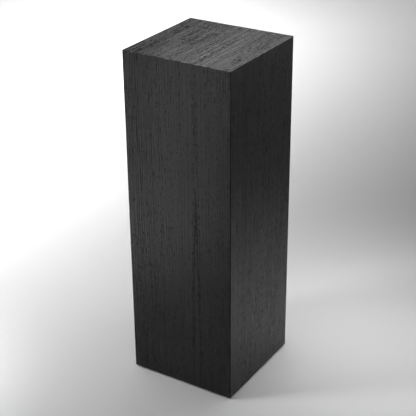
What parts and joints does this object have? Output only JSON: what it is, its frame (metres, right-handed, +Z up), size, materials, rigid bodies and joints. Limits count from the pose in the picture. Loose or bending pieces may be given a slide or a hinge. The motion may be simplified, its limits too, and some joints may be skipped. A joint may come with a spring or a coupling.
{
  "type": "display plinth",
  "caption": "Tall square box plinth in black-stained open-grain wood veneer with mitred edges, a flat top for an exhibit and screw levelling feet hidden underneath.",
  "frame": {"origin": "on the floor, under the middle of the plinth, with all four levelling feet screwed home", "axes": "+Z up, +Y towards the back, +X towards the right-hand side seen from the front"},
  "size_m": [0.3, 0.3, 0.9],
  "materials": {
    "veneer": "black-stained open-pore oak veneer, satin",
    "core": "raw medium-density fibreboard",
    "backer": "unfinished balancing veneer",
    "spline": "thin birch plywood tongue",
    "batten": "planed pine",
    "base_panel": "sanded birch plywood",
    "screw": "yellow zinc plate",
    "tee_nut": "bright zinc plate",
    "foot_stud": "bright zinc plate",
    "foot_pad": "moulded black nylon",
    "foot_sole": "matt black rubber"
  },
  "bodies": {
    "carcass": {"veneer_front": "veneer", "veneer_right": "veneer", "veneer_back": "veneer", "veneer_left": "veneer", "veneer_top": "veneer", "core_front": "core", "core_right": "core", "core_back": "core", "core_left": "core", "core_top": "core", "backer_front": "backer", "backer_right": "backer", "backer_back": "backer", "backer_left": "backer", "backer_top": "backer", "upright_spline_front_right": "spline", "upright_spline_back_right": "spline", "upright_spline_back_left": "spline", "upright_spline_front_left": "spline", "top_spline_front": "spline", "top_spline_right": "spline", "top_spline_back": "spline", "top_spline_left": "spline", "corner_batten_front_right": "batten", "corner_batten_back_right": "batten", "corner_batten_back_left": "batten", "corner_batten_front_left": "batten", "top_batten_front": "batten", "top_batten_right": "batten", "top_batten_back": "batten", "top_batten_left": "batten", "base_batten_front": "batten", "base_batten_right": "batten", "base_batten_back": "batten", "base_batten_left": "batten", "base_panel": "base_panel", "base_screws": "screw", "tee_nut_front_right": "tee_nut", "tee_nut_back_right": "tee_nut", "tee_nut_back_left": "tee_nut", "tee_nut_front_left": "tee_nut"},
    "pad_front_right": {"foot_pad_front_right": "foot_pad", "foot_sole_front_right": "foot_sole"},
    "stud_front_right": {"foot_stud_front_right": "foot_stud"},
    "pad_back_right": {"foot_pad_back_right": "foot_pad", "foot_sole_back_right": "foot_sole"},
    "stud_back_right": {"foot_stud_back_right": "foot_stud"},
    "pad_back_left": {"foot_pad_back_left": "foot_pad", "foot_sole_back_left": "foot_sole"},
    "stud_back_left": {"foot_stud_back_left": "foot_stud"},
    "pad_front_left": {"foot_pad_front_left": "foot_pad", "foot_sole_front_left": "foot_sole"},
    "stud_front_left": {"foot_stud_front_left": "foot_stud"}
  },
  "joints": [
    {"name": "foot_travel_front_right", "type": "slide", "parent": "carcass", "child": "pad_front_right", "axis": [0, 0, -1], "range_m": [0, 0.012]},
    {"name": "stud_turn_front_right", "type": "hinge", "parent": "pad_front_right", "child": "stud_front_right", "pos_m": [0.1, -0.1, 0.009], "axis": [0, 0, -1], "range_deg": [0, 3456]},
    {"name": "foot_travel_back_right", "type": "slide", "parent": "carcass", "child": "pad_back_right", "axis": [0, 0, -1], "range_m": [0, 0.012]},
    {"name": "stud_turn_back_right", "type": "hinge", "parent": "pad_back_right", "child": "stud_back_right", "pos_m": [0.1, 0.1, 0.009], "axis": [0, 0, -1], "range_deg": [0, 3456]},
    {"name": "foot_travel_back_left", "type": "slide", "parent": "carcass", "child": "pad_back_left", "axis": [0, 0, -1], "range_m": [0, 0.012]},
    {"name": "stud_turn_back_left", "type": "hinge", "parent": "pad_back_left", "child": "stud_back_left", "pos_m": [-0.1, 0.1, 0.009], "axis": [0, 0, -1], "range_deg": [0, 3456]},
    {"name": "foot_travel_front_left", "type": "slide", "parent": "carcass", "child": "pad_front_left", "axis": [0, 0, -1], "range_m": [0, 0.012]},
    {"name": "stud_turn_front_left", "type": "hinge", "parent": "pad_front_left", "child": "stud_front_left", "pos_m": [-0.1, -0.1, 0.009], "axis": [0, 0, -1], "range_deg": [0, 3456]}
  ],
  "couplings": [
    {"joint": "stud_turn_front_right", "follows": "foot_travel_front_right", "rad_per_m": 5026.5},
    {"joint": "stud_turn_back_right", "follows": "foot_travel_back_right", "rad_per_m": 5026.5},
    {"joint": "stud_turn_back_left", "follows": "foot_travel_back_left", "rad_per_m": 5026.5},
    {"joint": "stud_turn_front_left", "follows": "foot_travel_front_left", "rad_per_m": 5026.5}
  ]
}
